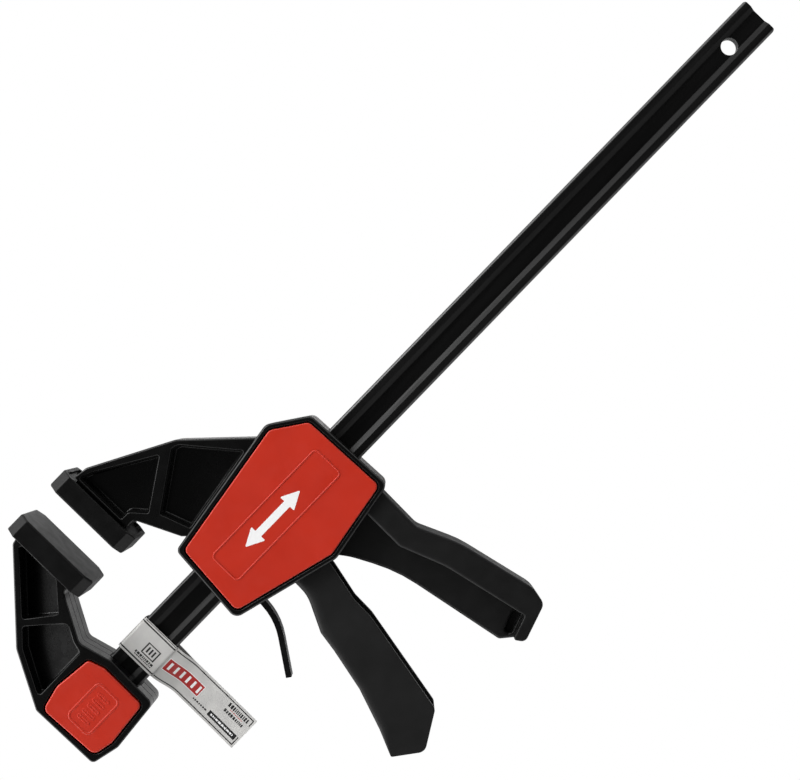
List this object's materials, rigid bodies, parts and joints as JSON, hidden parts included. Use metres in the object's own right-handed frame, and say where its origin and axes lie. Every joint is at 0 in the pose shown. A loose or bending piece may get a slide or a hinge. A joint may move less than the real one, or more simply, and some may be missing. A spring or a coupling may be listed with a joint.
{
  "type": "one-handed bar clamp",
  "caption": "Trigger-operated bar clamp: a grooved steel rail, a fixed jaw with a release button, and a moving jaw with trigger, grip and brake lever.",
  "frame": {"origin": "centre of the fixed pad's clamping face, on the bar's middle plane", "axes": "+X along the bar, from the fixed jaw towards the bar's free end; +Y across the bar, towards the jaw tips; +Z out of the face that carries the release button, so the clamp lies on its side"},
  "size_m": [0.5394, 0.2424, 0.04],
  "materials": {
    "bar_paint": "black powder coat, satin",
    "black_nylon": "moulded, satin",
    "trigger_nylon": "moulded, satin",
    "red_nylon": "moulded, fine texture",
    "soft_pad": "matte",
    "plated_steel": "zinc plated",
    "spring_steel": "bright wire",
    "lever_steel": "blackened, satin",
    "tag_film": "silver printed film"
  },
  "bodies": {
    "rail": {"bar": "bar_paint", "fixed_jaw": "black_nylon", "fixed_jaw_pad": "soft_pad", "jaw_back_cover": "black_nylon", "jaw_cover_screw_upper": "plated_steel", "jaw_cover_screw_lower": "plated_steel", "button_spring_upper": "spring_steel", "button_spring_lower": "spring_steel", "product_tag": "tag_film"},
    "release_button": {"push_button": "red_nylon", "latch_plate": "plated_steel", "latch_pin": "plated_steel"},
    "sliding_jaw": {"moving_jaw": "black_nylon", "moving_jaw_pad": "soft_pad", "front_cover": "red_nylon", "back_cover": "red_nylon", "cover_screw_1": "plated_steel", "cover_screw_2": "plated_steel", "cover_screw_3": "plated_steel", "trigger_pivot_pin": "plated_steel", "drive_spring": "spring_steel", "brake_spring": "spring_steel"},
    "trigger_lever": {"trigger": "trigger_nylon"},
    "drive_pack": {"drive_plate_1": "plated_steel", "drive_plate_2": "plated_steel", "drive_plate_3": "plated_steel"},
    "brake": {"brake_lever": "lever_steel"}
  },
  "joints": [
    {"name": "jaw_slide", "type": "slide", "parent": "rail", "child": "sliding_jaw", "axis": [1, 0, 0], "range_m": [-0.0205, 0.285]},
    {"name": "trigger_squeeze", "type": "hinge", "parent": "sliding_jaw", "child": "trigger_lever", "pos_m": [0.084, -0.052, 0], "axis": [0, 0, 1], "range_deg": [0, 18], "stiffness_Nm_per_rad": 1.5, "springref_deg": -8.59},
    {"name": "drive_plate_advance", "type": "slide", "parent": "sliding_jaw", "child": "drive_pack", "axis": [1, 0, 0], "range_m": [0, 0.0062], "deforming": ["drive_spring"]},
    {"name": "brake_release", "type": "hinge", "parent": "sliding_jaw", "child": "brake", "pos_m": [0.0568, -0.0495, 0], "axis": [0, 0, 1], "range_deg": [0, 9], "stiffness_Nm_per_rad": 1.2, "springref_deg": -8.59, "deforming": ["brake_spring"]},
    {"name": "button_press", "type": "slide", "parent": "rail", "child": "release_button", "axis": [0, 0, -1], "range_m": [0, 0.002], "stiffness_N_per_m": 1500, "springref_m": -0.002, "deforming": ["button_spring_upper", "button_spring_lower"]}
  ],
  "couplings": [
    {"joint": "drive_plate_advance", "follows": "trigger_squeeze", "m_per_rad": 0.0193}
  ]
}
